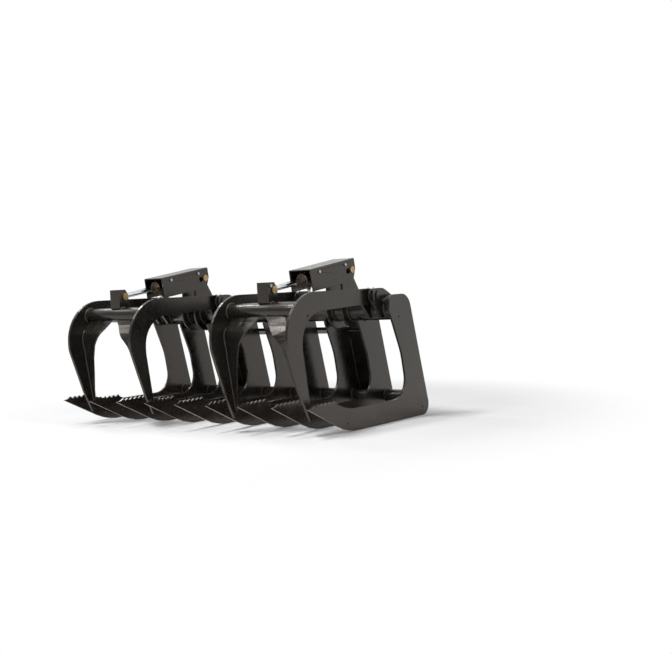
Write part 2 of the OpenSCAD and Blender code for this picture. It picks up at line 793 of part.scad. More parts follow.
// Rod side of the cylinder
module rod() {
    piston_face = barrel_len - gland_head - gland_plug - piston_rest;
    color(chrome)
    along_cylinder() difference() {
        union() {
            translate([0, 0, piston_face - piston_len])
                cylinder(h = cyl_len - piston_face + piston_len, d = rod_d);
            translate([0, 0, cyl_len - rod_shoulder])
                cylinder(h = rod_shoulder, d1 = rod_d, d2 = rod_eye_w - side_gap);
            translate([-rod_eye_w / 2, 0, cyl_len]) rotate([0, 90, 0]) cylinder(h = rod_eye_w, d = rod_eye_d);
        }
        translate([-rod_eye_w / 2 - over, 0, cyl_len])
            rotate([0, 90, 0]) cylinder(h = rod_eye_w + 2 * over, d = cyl_pin_d + 2 * run_gap);
    }
}
module piston() {
    from = barrel_len - gland_head - gland_plug - piston_rest - piston_len;
    color(bolt_metal)
    along_cylinder() difference() {
        translate([0, 0, from]) cylinder(h = piston_len, d = bore_d - 2 * run_gap);
        translate([0, 0, from - over]) cylinder(h = piston_len + 2 * over, d = rod_d + 2 * press_gap);
        ring_z(from + (piston_len - piston_seal_w) / 2, piston_seal_w,
            bore_d + 2 * over, bore_d - 2 * piston_seal_depth);
    }
}
module piston_seal() {
    from = barrel_len - gland_head - gland_plug - piston_rest - piston_len;
    color(rubber)
    along_cylinder()
        ring_z(from + (piston_len - piston_seal_w) / 2 + press_gap, piston_seal_w - 2 * press_gap,
            bore_d - 2 * run_gap, bore_d - 2 * piston_seal_depth + 2 * press_gap);
}
module rod_pin_core() {
    len = bracket_w - 2 * bracket_t - 2 * side_gap;
    color(zinc) bar(arm_x, len, rod_pin, cyl_pin_d);
}

// Guard: a folded channel over the barrel that swings on the base pin
module guard() {
    color(paint)
    along_cylinder() difference() {
        for (s = [-1, 1])
            thick_z(s * (guard_gap + guard_t) / 2, guard_t) polygon(rounded([
                [-guard_tail_low, -guard_skirt_rear, 0], [guard_len, -guard_skirt_front, 0],
                [guard_len, guard_up - guard_bend_r, 0], [-guard_tail, guard_up - guard_bend_r, 0],
                [-guard_tail, 0, guard_tail_turn_r]
            ]));
        guard_pin_hole();
        for (at = guard_bolt_along)
            translate([-guard_gap, guard_bolt_up, at]) rotate([0, 90, 0])
                cylinder(h = 2 * guard_gap, d = guard_bolt_d + 2 * run_gap);
        translate([-guard_gap, guard_port_up, guard_port_along]) rotate([0, 90, 0])
            cylinder(h = 2 * guard_gap, d = guard_port_d);
    }
    color(paint)
    along_cylinder() translate([0, 0, -guard_tail]) linear_extrude(guard_len + guard_tail)
        guard_roof();
}
module guard_pin_hole() {
    translate([-guard_gap, 0, 0]) rotate([0, 90, 0])
        cylinder(h = 2 * guard_gap, d = cyl_pin_d + 2 * run_gap);
}
module thick_z(x, t) { translate([x + t / 2, 0, 0]) rotate([0, -90, 0]) linear_extrude(t) children(); }
module guard_roof() {
    half = guard_gap / 2 + guard_t;
    difference() {
        polygon(rounded([
            [-half, guard_up - guard_bend_r, 0], [half, guard_up - guard_bend_r, 0],
            [half, guard_up, guard_bend_r - over], [-half, guard_up, guard_bend_r - over]
        ]));
        translate([-guard_gap / 2, 0]) square([guard_gap, guard_up - guard_t]);
    }
}
module guard_bolts() {
    face = guard_gap / 2 + guard_t + seat_gap;
    shank = face - guard_gap / 2 + guard_bolt_in;
    color(bolt_metal)
    along_cylinder()
        for (at = guard_bolt_along)
            for (s = [-1, 1])
                translate([s * face, guard_bolt_up, at]) rotate([0, s * 90, 0]) {
                    translate([0, 0, -shank]) cylinder(h = shank, d = guard_bolt_d);
                    cylinder(h = guard_bolt_head_h, d = guard_bolt_head_d, $fn = 6);
                }
}

module left() { centred() on_side(-1) children(); }
module right() { centred() on_side(1) children(); }

left() side_plate();  // left_side_plate
right() side_plate();  // right_side_plate
centred() floor_tine(1);  // floor_tine_1
centred() floor_tine(2);  // floor_tine_2
centred() floor_tine(3);  // floor_tine_3
centred() floor_tine(4);  // floor_tine_4
centred() floor_tine(5);  // floor_tine_5
centred() floor_tine(6);  // floor_tine_6
centred() floor_tine(7);  // floor_tine_7
centred() cross_tube();
centred() heel_pipe();
centred() coupler_top_rail();
centred() coupler_plates();
centred() coupler_shelf();
left() hinge_ears();  // left_hinge_ears
right() hinge_ears();  // right_hinge_ears
left() hinge_pins();  // left_hinge_pins
right() hinge_pins();  // right_hinge_pins
left() tower_plates();  // left_tower_plates
right() tower_plates();  // right_tower_plates
left() base_pin_piece();  // left_base_pin
right() base_pin_piece();  // right_base_pin
centred() hinge_pin_bolts();
left() arm_tine(outer_tine_x);  // left_arm_outer_tine
left() arm_tine(inner_tine_x);  // left_arm_inner_tine
left() arm_flanges();  // left_arm_flanges
left() arm_tube();  // left_arm_tube
left() rod_bracket();  // left_rod_bracket
left() rod_pin_ends();  // left_rod_pin_ends
left() hinge_bushes();  // left_hinge_bushes
left() rod_pin_bolt();  // left_rod_pin_bolt
right() arm_tine(outer_tine_x);  // right_arm_outer_tine
right() arm_tine(inner_tine_x);  // right_arm_inner_tine
right() arm_flanges();  // right_arm_flanges
right() arm_tube();  // right_arm_tube
right() rod_bracket();  // right_rod_bracket
right() rod_pin_ends();  // right_rod_pin_ends
right() hinge_bushes();  // right_hinge_bushes
right() rod_pin_bolt();  // right_rod_pin_bolt
left() barrel();  // left_barrel
left() gland();  // left_gland
left() gland_seal();  // left_gland_seal
left() guard();  // left_guard
left() guard_bolts();  // left_guard_bolts
left() port_fittings();  // left_port_fittings
right() barrel();  // right_barrel
right() gland();  // right_gland
right() gland_seal();  // right_gland_seal
right() guard();  // right_guard
right() guard_bolts();  // right_guard_bolts
right() port_fittings();  // right_port_fittings
left() rod();  // left_rod
left() piston();  // left_piston
left() piston_seal();  // left_piston_seal
left() rod_pin_core();  // left_rod_pin_core
right() rod();  // right_rod
right() piston();  // right_piston
right() piston_seal();  // right_piston_seal
right() rod_pin_core();  // right_rod_pin_core
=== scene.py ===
"""Two-arm root grapple: materials, weld beads, fasteners, light and camera."""
import json
import math

import bmesh
import bpy
from mathutils import Matrix, Vector


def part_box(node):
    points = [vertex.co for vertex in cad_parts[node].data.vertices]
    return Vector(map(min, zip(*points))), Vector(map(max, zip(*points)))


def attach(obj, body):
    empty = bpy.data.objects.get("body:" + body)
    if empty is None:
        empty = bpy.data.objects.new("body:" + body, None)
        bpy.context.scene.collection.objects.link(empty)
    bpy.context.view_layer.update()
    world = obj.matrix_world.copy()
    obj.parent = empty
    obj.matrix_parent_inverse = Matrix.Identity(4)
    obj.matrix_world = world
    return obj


MM = 0.001

# The photo's view, solved from its plates: the camera's place from the cross tube's axis, and its axes
CAMERA_FROM_TUBE = Vector((4378.5, -4956.3, 789.8)) * MM
CAMERA_RIGHT = Vector((0.78960145, 0.61124864, -0.05389481))
CAMERA_DOWN = Vector((-0.04039158, -0.03586573, -0.99854002))
CAMERA_FORWARD = Vector((-0.61228921, 0.79062554, -0.00363034))
IMAGE_W, IMAGE_H = 672, 654
FOCAL_PX = 1135.14
PRINCIPAL_PX = (340.9, 278.2)
SENSOR = 36.0

# The rounding of every solid's sharp edges, from SHARP_DEG up, once its doubled points are merged
EDGE_BEVEL = 1.1 * MM
SHARP_DEG = 40
MERGE = 0.01 * MM

# Places on the solids that the beads and fittings sit on
ARM_PLATE = 16 * MM
HUB_R = 33 * MM
HUB_GREASE = 18 * MM
COUPLER_PLATE = 10 * MM

# Weld beads: leg, steps of the ripple, section, the arcs that they cover in degrees from +Y towards
# +Z, how near a point counts as on a face or as the same, and where the straight beads end
WELD_LEG = 6.5 * MM
WELD_RIPPLE = 3.2 * MM
WELD_RIPPLE_LONG = 4.5 * MM
FLANGE_LEG_SHARE = 0.8
BEAD_SIDES = 7
BEAD_END_STEPS = 2
BEAD_END_SHARE = 0.35
BEAD_SWELL_SHARE = 0.10
BEAD_FLAT_SHARE = 0.20
BEAD_ROOT_SHARE = 0.15
TINE_ROUND = (-95, 175)
EAR_ROUND = (80, 225)
TOWER_ROUND = (0, 360)
BRACKET_ROUND = (68, 124)
ON_FACE = 0.5 * MM
SAME_POINT = 0.001 * MM
SHELF_WELD_END = 8 * MM
PLATE_WELD_FOOT = 12 * MM
PLATE_WELD_HEAD = 40 * MM

# Grease fittings: radii and heights from the foot
GREASE_HEX = 5.0 * MM
GREASE_NOSE = 2.6 * MM
GREASE_SUNK = 1.0 * MM
GREASE_HEX_TOP = 5.0 * MM
GREASE_NOSE_TOP = 9.5 * MM
GREASE_BALL_AT = 10.5 * MM
GREASE_BALL = 1.25 * GREASE_NOSE
GREASE_TAPER_SHARE = 0.92

# Black paint: tones, gloss, the height where ground dust begins and where it is full, in metres,
# the grains of its noises in waves per metre, and its roughness from bright to dull
PAINT = (0.0080, 0.0072, 0.0062, 1)
PAINT_DUSTY = (0.0170, 0.0150, 0.0125, 1)
PAINT_GLOSS = 0.62
PAINT_SHEEN = (1.0, 0.91, 0.83, 1)
# The pale tone along chipped corners is partly worn paint and partly a painted highlight that stands in
# for light catching the plates' edges
EDGE_WEAR_AND_HIGHLIGHT_TONE = (0.10, 0.095, 0.085, 1)
GROUND_DUST = (0.036, 0.027, 0.022, 1)
DUST_TOP = 0.34
DUST_FULL = 0.03
DUST_GRAIN = (9.0, 5.0, 14.0)
MOTTLE_GRAIN = 7.0
HAZE_GRAIN = 38.0
CHIP_GRAIN = 90.0
PEEL_GRAIN = 620.0
PAINT_ROUGHNESS = (0.16, 0.29)
# Width of the corner band that gets the pale tone: worn paint and a painted edge highlight
PAINT_WEAR_AND_HIGHLIGHT_WIDTH = 2.2 * MM
PEEL_DEPTH = 0.5 * MM
WELD_GRAIN = 60.0
WELD_PATCH_GRAIN = 120.0
WELD_RIPPLE_GRAIN = 260.0
WELD_ROUGHNESS = (0.32, 0.50)
WELD_RIPPLE_DEPTH = 0.8 * MM

# Bare and plated metal: noise grains, worn corners and depth of the machining lines, then for each
# metal its two tones, its roughness and how many of its lines cross a metre along X, Y and Z
PATCH_GRAIN = 45.0
WEAR_GRAIN = 160.0
METAL_WEAR = 1.5 * MM
LINE_DEPTH = 0.3 * MM
GLAND = (0.16, 0.12, 0.085, 1)
GLAND_DARK = (0.05, 0.042, 0.035, 1)
GLAND_ROUGHNESS = (0.28, 0.46)
GLAND_LINES = (300, 300, 300)
CHROME = (0.78, 0.79, 0.80, 1)
CHROME_DARK = (0.58, 0.60, 0.62, 1)
CHROME_ROUGHNESS = (0.06, 0.16)
CHROME_LINES = (900, 900, 900)
ZINC = (0.32, 0.21, 0.085, 1)
ZINC_PALE = (0.44, 0.33, 0.18, 1)
ZINC_ROUGHNESS = (0.24, 0.42)
ZINC_LINES = (700, 90, 90)
STEEL = (0.50, 0.51, 0.52, 1)
STEEL_DARK = (0.30, 0.30, 0.30, 1)
STEEL_ROUGHNESS = (0.26, 0.44)
STEEL_LINES = (500, 120, 120)
BRONZE = (0.42, 0.24, 0.09, 1)
BRONZE_DARK = (0.22, 0.12, 0.05, 1)
BRONZE_ROUGHNESS = (0.30, 0.48)
BRONZE_LINES = (800, 60, 60)

# Seal rubber
RUBBER = (0.012, 0.012, 0.012, 1)
RUBBER_GREY = (0.03, 0.03, 0.03, 1)
RUBBER_ROUGHNESS = (0.55, 0.75)
RUBBER_GRAIN = 80.0
RUBBER_MATT_GRAIN = 200.0
RUBBER_SKIN_GRAIN = 500.0
RUBBER_SKIN_DEPTH = 0.3 * MM

WHITE = (1, 1, 1, 1)

# Floor, metres from the origin
FLOOR_HALF = 40.0
FLOOR_TONE = (0.86, 0.86, 0.86, 1)
FLOOR_ROUGHNESS = 0.9
FADE_FROM = 1.3
FADE_TO = 2.3

# Surroundings: a dim plain room, mirrored brighter on the side that BRIGHT_SIDE points to
AMBIENT = (0.10, 0.10, 0.102, 1)
BRIGHT_SIDE = Vector((0.45, 0.60, 0.66))
DIM_SIDE_TONE = (0.36, 0.36, 0.36, 1)
DIM_SIDE_AT = -0.6
BRIGHT_SIDE_AT = 0.35

# Lamps: name, place, aim, width and height in metres, and power in watts; the strip's mirror image
# lies along the front slopes of the teeth as the camera sees them
LAMPS = (
    ("key", (-0.7, -2.0, 5.2), (0, -0.2, 0.2), 1.5, 1.1, 195),
    ("left_fill", (-3.6, -1.8, 4.2), (0, 0, 0.4), 2.0, 1.4, 25),
    ("strip", (-3.85, 0.45, 3.95), (0, -0.42, 0.12), 0.3, 2.2, 42),
    ("right_fill", (3.8, -0.6, 4.2), (0, 0, 0.4), 2.4, 2.0, 75),
    ("front", (-1.4, -4.7, 4.9), (0, -0.3, 0.2), 0.9, 0.9, 45),
    ("top", (0.0, 1.0, 5.0), (0, 0, 0.4), 4.5, 3.0, 32),
)


def links(mat):
    return mat.node_tree.nodes, mat.node_tree.links


def noise(mat, scale, detail=4.0, roughness=0.55, stretch=None):
    nodes, wires = links(mat)
    coord = nodes.new("ShaderNodeTexCoord")
    tex = nodes.new("ShaderNodeTexNoise")
    tex.inputs["Scale"].default_value = scale
    tex.inputs["Detail"].default_value = detail
    tex.inputs["Roughness"].default_value = roughness
    if stretch:
        mapping = nodes.new("ShaderNodeMapping")
        mapping.inputs["Scale"].default_value = stretch
        wires.new(coord.outputs["Object"], mapping.inputs["Vector"])
        wires.new(mapping.outputs["Vector"], tex.inputs["Vector"])
    else:
        wires.new(coord.outputs["Object"], tex.inputs["Vector"])
    return tex.outputs["Fac"]


def ramp(mat, fac, stops):
    nodes, wires = links(mat)
    node = nodes.new("ShaderNodeValToRGB")
    elements = node.color_ramp.elements
    while len(elements) < len(stops):
        elements.new(0.5)
    for element, (place, colour) in zip(elements, stops):
        element.position = place
        element.color = colour if hasattr(colour, "__len__") else (colour,) * 3 + (1,)
    wires.new(fac, node.inputs["Fac"])
    return node.outputs["Color"]


def between(mat, fac, low, high, values=(0.0, 1.0)):
    """The two values where fac is at low and at high, and a straight change between them."""
    return ramp(mat, fac, [(low, values[0]), (high, values[1])])


def mix(mat, fac, a, b):
    nodes, wires = links(mat)
    node = nodes.new("ShaderNodeMix")
    node.data_type = "RGBA"
    for socket, value in ((node.inputs[0], fac), (node.inputs[6], a), (node.inputs[7], b)):
        if hasattr(value, "is_output"):
            wires.new(value, socket)
        else:
            socket.default_value = value
    return node.outputs[2]


def math_node(mat, op, a, b=0.0):
    nodes, wires = links(mat)
    node = nodes.new("ShaderNodeMath")
    node.operation = op
    for socket, value in ((node.inputs[0], a), (node.inputs[1], b)):
        if hasattr(value, "is_output"):
            wires.new(value, socket)
        else:
            socket.default_value = value
    return node.outputs[0]


def edge_mask(mat, radius, low, high):
    """White where the surface turns a corner, from the bevelled normal against the true one."""
    nodes, wires = links(mat)
    bevel = nodes.new("ShaderNodeBevel")
    bevel.samples = 6
    bevel.inputs["Radius"].default_value = radius
    geometry = nodes.new("ShaderNodeNewGeometry")
    dot = nodes.new("ShaderNodeVectorMath")
    dot.operation = "DOT_PRODUCT"
    wires.new(bevel.outputs["Normal"], dot.inputs[0])
    wires.new(geometry.outputs["Normal"], dot.inputs[1])
    away = math_node(mat, "SUBTRACT", 1.0, dot.outputs["Value"])
    return between(mat, away, low, high)


def low_dust(mat):
    """More towards the ground, in patches drawn out along the plates."""
    nodes, wires = links(mat)
    coord = nodes.new("ShaderNodeTexCoord")
    parts = nodes.new("ShaderNodeSeparateXYZ")
    wires.new(coord.outputs["Object"], parts.inputs[0])
    height = nodes.new("ShaderNodeMapRange")
    height.interpolation_type = "SMOOTHSTEP"
    height.inputs["From Min"].default_value = DUST_TOP
    height.inputs["From Max"].default_value = DUST_FULL
    wires.new(parts.outputs["Z"], height.inputs["Value"])
    patches = between(mat, noise(mat, 1.0, 6.0, 0.6, DUST_GRAIN), 0.38, 0.66, (0.10, 1.0))
    return math_node(mat, "MULTIPLY", height.outputs["Result"], patches)


def bump(mat, height, strength, distance):
    nodes, wires = links(mat)
    node = nodes.new("ShaderNodeBump")
    node.inputs["Strength"].default_value = strength
    node.inputs["Distance"].default_value = distance
    wires.new(height, node.inputs["Height"])
    return node.outputs["Normal"]


def material(name, metallic=0.0):
    mat = bpy.data.materials.new(name)
    mat.use_nodes = True
    shader = mat.node_tree.nodes["Principled BSDF"]
    shader.inputs["Metallic"].default_value = metallic
    return mat, shader


def wire(mat, socket, value):
    mat.node_tree.links.new(value, socket)


def powder_coat():
    """Semi-gloss black powder coat: mottled tone, ground dust, orange peel, and a pale tone along the
    corners that is partly worn paint, partly painted highlight.
    """
    mat, shader = material("black_powder_coat")
    shader.inputs["Specular IOR Level"].default_value = PAINT_GLOSS
    shader.inputs["Specular Tint"].default_value = PAINT_SHEEN
    mottle = noise(mat, MOTTLE_GRAIN, 5.0)
    haze = noise(mat, HAZE_GRAIN, 6.0, 0.65)
    tone = mix(mat, between(mat, mottle, 0.35, 0.72), PAINT, PAINT_DUSTY)
    tone = mix(mat, low_dust(mat), tone, GROUND_DUST)
    # Pale corners broken up by chips: partly worn paint, partly a painted highlight along the edges
    edges = edge_mask(mat, PAINT_WEAR_AND_HIGHLIGHT_WIDTH, 0.03, 0.22)
    chips = between(mat, noise(mat, CHIP_GRAIN, 3.0), 0.38, 0.62, (0.15, 1.0))
    worn_and_highlit_edges = math_node(mat, "MULTIPLY", edges, chips)
    tone = mix(mat, worn_and_highlit_edges, tone, EDGE_WEAR_AND_HIGHLIGHT_TONE)
    wire(mat, shader.inputs["Base Color"], tone)
    wire(mat, shader.inputs["Roughness"], between(mat, haze, 0.3, 0.7, PAINT_ROUGHNESS))
    peel = noise(mat, PEEL_GRAIN, 2.0)
    wire(mat, shader.inputs["Normal"], bump(mat, peel, 0.05, PEEL_DEPTH))
    return mat


def weld_metal():
    """Painted weld bead: the coat's colour over rippled metal."""
    mat, shader = material("painted_weld")
    shader.inputs["Specular IOR Level"].default_value = PAINT_GLOSS
    shader.inputs["Specular Tint"].default_value = PAINT_SHEEN
    tone = mix(mat, between(mat, noise(mat, WELD_GRAIN, 5.0), 0.4, 0.7), PAINT, PAINT_DUSTY)
    wire(mat, shader.inputs["Base Color"], tone)
    patches = noise(mat, WELD_PATCH_GRAIN)
    wire(mat, shader.inputs["Roughness"], between(mat, patches, 0.3, 0.7, WELD_ROUGHNESS))
    ripples = noise(mat, WELD_RIPPLE_GRAIN, 3.0)
    wire(mat, shader.inputs["Normal"], bump(mat, ripples, 0.25, WELD_RIPPLE_DEPTH))
    return mat


def plated(name, bright, dull, roughness, grain):
    """Plated or bare metal: patchy tone, fine machining grain and worn corners."""
    mat, shader = material(name, metallic=1.0)
    patch = between(mat, noise(mat, PATCH_GRAIN, 5.0), 0.35, 0.65)
    edges = edge_mask(mat, METAL_WEAR, 0.04, 0.3)
    tone = mix(mat, edges, mix(mat, patch, bright, dull), bright)
    wire(mat, shader.inputs["Base Color"], tone)
    wear = noise(mat, WEAR_GRAIN, 4.0)
    wire(mat, shader.inputs["Roughness"], between(mat, wear, 0.3, 0.7, roughness))
    lines = noise(mat, 1.0, 2.0, 0.5, grain)
    wire(mat, shader.inputs["Normal"], bump(mat, lines, 0.12, LINE_DEPTH))
    return mat


def rubber():
    """Moulded black rubber, matt and slightly grey in patches."""
    mat, shader = material("seal_rubber")
    tone = mix(mat, between(mat, noise(mat, RUBBER_GRAIN), 0.4, 0.7), RUBBER, RUBBER_GREY)
    wire(mat, shader.inputs["Base Color"], tone)
    matt = noise(mat, RUBBER_MATT_GRAIN)
    wire(mat, shader.inputs["Roughness"], between(mat, matt, 0.3, 0.7, RUBBER_ROUGHNESS))
    wire(mat, shader.inputs["Normal"], bump(mat, noise(mat, RUBBER_SKIN_GRAIN), 0.2, RUBBER_SKIN_DEPTH))
    return mat


def new_piece(name, bm, mat, body):
    mesh = bpy.data.meshes.new(name)
    bm.to_mesh(mesh)
    bm.free()
    for polygon in mesh.polygons:
        polygon.use_smooth = True
    piece = bpy.data.objects.new(name, mesh)
    bpy.context.collection.objects.link(piece)
    piece.data.materials.append(mat)
    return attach(piece, body)


def bead(bm, points, outs, leg=WELD_LEG, closed=False):
    """A rippled bead along points, thinner at open ends; outs holds the two wall directions at each."""
    rings = []
    count = len(points)
    for i, (point, (u, v)) in enumerate(zip(points, outs)):
        from_end = min(i, count - 1 - i) / BEAD_END_STEPS
        taper = 1.0 if closed else min(1.0, BEAD_END_SHARE + (1.0 - BEAD_END_SHARE) * from_end)
        swell = leg * taper * (1.0 + BEAD_SWELL_SHARE * (1 if i % 2 else -1))
        ring = []
        for k in range(BEAD_SIDES):
            a = math.pi / 2 * k / (BEAD_SIDES - 1)
            away = u * math.cos(a) + v * math.sin(a)
            flat = 1.0 - BEAD_FLAT_SHARE * (1.0 - abs(math.cos(2 * a)))
            ring.append(bm.verts.new(point + away * swell * flat))
        ring.append(bm.verts.new(point - (u + v) * leg * BEAD_ROOT_SHARE))
        rings.append(ring)
    for i in range(count if closed else count - 1):
        a, b = rings[i], rings[(i + 1) % count]
        for k in range(BEAD_SIDES + 1):
            j = (k + 1) % (BEAD_SIDES + 1)
            bm.faces.new((a[k], a[j], b[j], b[k]))
    if not closed:
        bm.faces.new(rings[0])
        bm.faces.new(list(reversed(rings[-1])))


def ring_bead(bm, x, side, y, z, radius, start=0.0, end=360.0, leg=WELD_LEG):
    """A bead round a tube along X, in the corner with a plate's face at x; side is the face's normal."""
    closed = abs(end - start) >= 360.0
    arc = math.radians(end - start) * radius
    count = max(10, int(arc / WELD_RIPPLE))
    points, outs = [], []
    for i in range(count):
        a = math.radians(start + (end - start) * i / (count if closed else count - 1))
        away = Vector((0, math.cos(a), math.sin(a)))
        points.append(Vector((x, y, z)) + away * radius)
        outs.append((Vector((side, 0, 0)), away))
    bead(bm, points, outs, leg, closed)


def line_bead(bm, start, end, u, v, leg=WELD_LEG, ripple=WELD_RIPPLE_LONG):
    """A straight bead from start to end, in the corner of two walls whose directions are u and v."""
    count = max(4, int((end - start).length / ripple))
    points = [start.lerp(end, i / (count - 1)) for i in range(count)]
    bead(bm, points, [(u, v)] * count, leg)


def path_bead(bm, corners, u, v, leg=WELD_LEG):
    """A bead along a polyline, with its steps spread evenly over the whole run."""
    points = [corners[0]]
    for a, b in zip(corners, corners[1:]):
        steps = max(1, int((b - a).length / WELD_RIPPLE_LONG))
        points += [a.lerp(b, k / steps) for k in range(1, steps + 1)]
    bead(bm, points, [(u, v)] * len(points), leg)


def grease_fitting(bm, foot, up):
    """A hexagon with a ball-ended nose, standing on foot."""
    turn = up.to_track_quat("Z", "Y").to_matrix().to_4x4()
    for radius, low, high, sides in ((GREASE_HEX, -GREASE_SUNK, GREASE_HEX_TOP, 6),
                                     (GREASE_NOSE, GREASE_HEX_TOP, GREASE_NOSE_TOP, 16)):
        place = Matrix.Translation(foot + up * (low + high) / 2) @ turn
        bmesh.ops.create_cone(bm, cap_ends=True, segments=sides, radius1=radius,
                              radius2=radius * GREASE_TAPER_SHARE, depth=high - low, matrix=place)
    bmesh.ops.create_uvsphere(bm, u_segments=16, v_segments=10, radius=GREASE_BALL,
                              matrix=Matrix.Translation(foot + up * GREASE_BALL_AT) @ turn)


def centre(node):
    low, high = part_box(node)
    return (low + high) / 2


def spread(node):
    low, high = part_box(node)
    return high - low


def solids(node):
    """The X spans of a node's separate solids, from its own mesh."""
    mesh = frame["nodes"][node].data
    bm = bmesh.new()
    bm.from_mesh(mesh)
    bmesh.ops.remove_doubles(bm, verts=bm.verts, dist=SAME_POINT)
    seen, spans = set(), []
    for vert in bm.verts:
        if vert.index in seen:
            continue
        stack, xs = [vert], []
        seen.add(vert.index)
        while stack:
            current = stack.pop()
            xs.append(current.co.x)
            for edge in current.link_edges:
                other = edge.other_vert(current)
                if other.index not in seen:
                    seen.add(other.index)
                    stack.append(other)
        spans.append((min(xs), max(xs)))
    bm.free()
    return sorted(spans)


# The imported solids, each with the finish that its record names and its sharp edges rounded
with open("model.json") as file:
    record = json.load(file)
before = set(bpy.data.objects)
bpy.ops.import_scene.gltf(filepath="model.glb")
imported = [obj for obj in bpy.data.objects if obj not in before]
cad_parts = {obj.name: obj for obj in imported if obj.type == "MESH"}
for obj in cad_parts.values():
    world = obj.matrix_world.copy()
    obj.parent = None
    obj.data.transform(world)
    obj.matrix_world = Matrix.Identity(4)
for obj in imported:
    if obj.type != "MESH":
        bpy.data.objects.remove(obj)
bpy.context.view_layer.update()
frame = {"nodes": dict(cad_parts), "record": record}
nodes = frame["nodes"]

paint = powder_coat()
weld = weld_metal()
chrome = plated("hard_chrome", CHROME, CHROME_DARK, CHROME_ROUGHNESS, CHROME_LINES)
zinc = plated("yellow_zinc", ZINC, ZINC_PALE, ZINC_ROUGHNESS, ZINC_LINES)
steel = plated("bright_steel", STEEL, STEEL_DARK, STEEL_ROUGHNESS, STEEL_LINES)
bronze = plated("bearing_bronze", BRONZE, BRONZE_DARK, BRONZE_ROUGHNESS, BRONZE_LINES)
gland = plated("oiled_gland", GLAND, GLAND_DARK, GLAND_ROUGHNESS, GLAND_LINES)
seal = rubber()

BY_SLOT = {
    "black_paint": paint,
    "chrome_rod": chrome,
    "zinc": zinc,
    "bright_steel": steel,
    "bronze": bronze,
    "gland_steel": gland,
    "seal": seal,
}
for entry in frame["record"]["subparts"]:
    piece = nodes[entry["node"]]
    piece.data.materials.clear()
    piece.data.materials.append(BY_SLOT[entry["material_slot"]])
    merge = piece.modifiers.new("merge", "WELD")
    merge.merge_threshold = MERGE
    soften = piece.modifiers.new("soften", "BEVEL")
    soften.width = EDGE_BEVEL
    soften.segments = 2
    soften.limit_method = "ANGLE"
    soften.angle_limit = math.radians(SHARP_DEG)
    soften.harden_normals = True

tube = centre("cross_tube")
tube_r = spread("cross_tube").z / 2
pipe = centre("heel_pipe")
pipe_r = spread("heel_pipe").z / 2

# Frame welds: plates on the cross tube and the heel pipe
bm = bmesh.new()
for name in nodes:
    if name.startswith("floor_tine"):
        low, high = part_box(name)
        for x, side in ((low.x, -1), (high.x, 1)):
            ring_bead(bm, x, side, tube.y, tube.z, tube_r, *TINE_ROUND)
            ring_bead(bm, x, side, pipe.y, pipe.z, pipe_r)
for name, side in (("left_side_plate", 1), ("right_side_plate", -1)):
    low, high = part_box(name)
    x = high.x if side > 0 else low.x
    ring_bead(bm, x, side, tube.y, tube.z, tube_r)
    ring_bead(bm, x, side, pipe.y, pipe.z, pipe_r)
new_piece("frame_plate_welds", bm, weld, "frame")

# Frame welds: hinge ears and tower plates on the cross tube
bm = bmesh.new()
for name, arc in (("left_hinge_ears", EAR_ROUND), ("right_hinge_ears", EAR_ROUND),
                  ("left_tower_plates", TOWER_ROUND), ("right_tower_plates", TOWER_ROUND)):
    for low_x, high_x in solids(name):
        ring_bead(bm, low_x, -1, tube.y, tube.z, tube_r, *arc)
        ring_bead(bm, high_x, 1, tube.y, tube.z, tube_r, *arc)
new_piece("frame_ear_welds", bm, weld, "frame")

# Arm welds: the tube against both tines, the bracket on the tube
for arm_side in ("left", "right"):
    arm_tube = centre(f"{arm_side}_arm_tube")
    arm_r = spread(f"{arm_side}_arm_tube").z / 2
    low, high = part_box(f"{arm_side}_arm_tube")
    bm = bmesh.new()
    ring_bead(bm, low.x, 1, arm_tube.y, arm_tube.z, arm_r)
    ring_bead(bm, high.x, -1, arm_tube.y, arm_tube.z, arm_r)
    low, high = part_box(f"{arm_side}_rod_bracket")
    ring_bead(bm, low.x, -1, arm_tube.y, arm_tube.z, arm_r, *BRACKET_ROUND)
    ring_bead(bm, high.x, 1, arm_tube.y, arm_tube.z, arm_r, *BRACKET_ROUND)
    new_piece(f"{arm_side}_arm_welds", bm, weld, f"{arm_side}_arm")

# Flange welds: along the front of each folded flange, against its tine
for arm_side in ("left", "right"):
    bm = bmesh.new()
    name = f"{arm_side}_arm_flanges"
    arm_tube = centre(f"{arm_side}_arm_tube")
    below = arm_tube.z - spread(f"{arm_side}_arm_tube").z / 2 - 2 * WELD_LEG
    flange_low, flange_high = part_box(name)
    for face, side in ((flange_low.x, 1), (flange_high.x, -1)):
        front = {}
        for vert in nodes[name].data.vertices:
            if abs(vert.co.x - face) < ON_FACE and vert.co.z < below:
                level = round(vert.co.z, 4)
                if level not in front or vert.co.y < front[level].y:
                    front[level] = vert.co.copy()
        line = [front[level] for level in sorted(front)]
        path_bead(bm, line, Vector((side, 0, 0)), Vector((0, -1, 0)), FLANGE_LEG_SHARE * WELD_LEG)
    new_piece(f"{arm_side}_flange_welds", bm, weld, f"{arm_side}_arm")

# Hub welds on both faces of each arm plate, and a grease fitting on top of each hub
for arm_side in ("left", "right"):
    bm = bmesh.new()
    fittings = bmesh.new()
    bush = centre(f"{arm_side}_hinge_bushes")
    for tine in ("outer", "inner"):
        name = f"{arm_side}_arm_{tine}_tine"
        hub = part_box(name)
        mid = (hub[0].x + hub[1].x) / 2
        for side in (-1, 1):
            ring_bead(bm, mid + side * ARM_PLATE / 2, side, bush.y, bush.z, HUB_R)
            foot = Vector((mid + side * HUB_GREASE, bush.y, bush.z + HUB_R))
            grease_fitting(fittings, foot, Vector((0, 0, 1)))
    new_piece(f"{arm_side}_hub_welds", bm, weld, f"{arm_side}_arm")
    new_piece(f"{arm_side}_grease_fittings", fittings, steel, f"{arm_side}_arm")

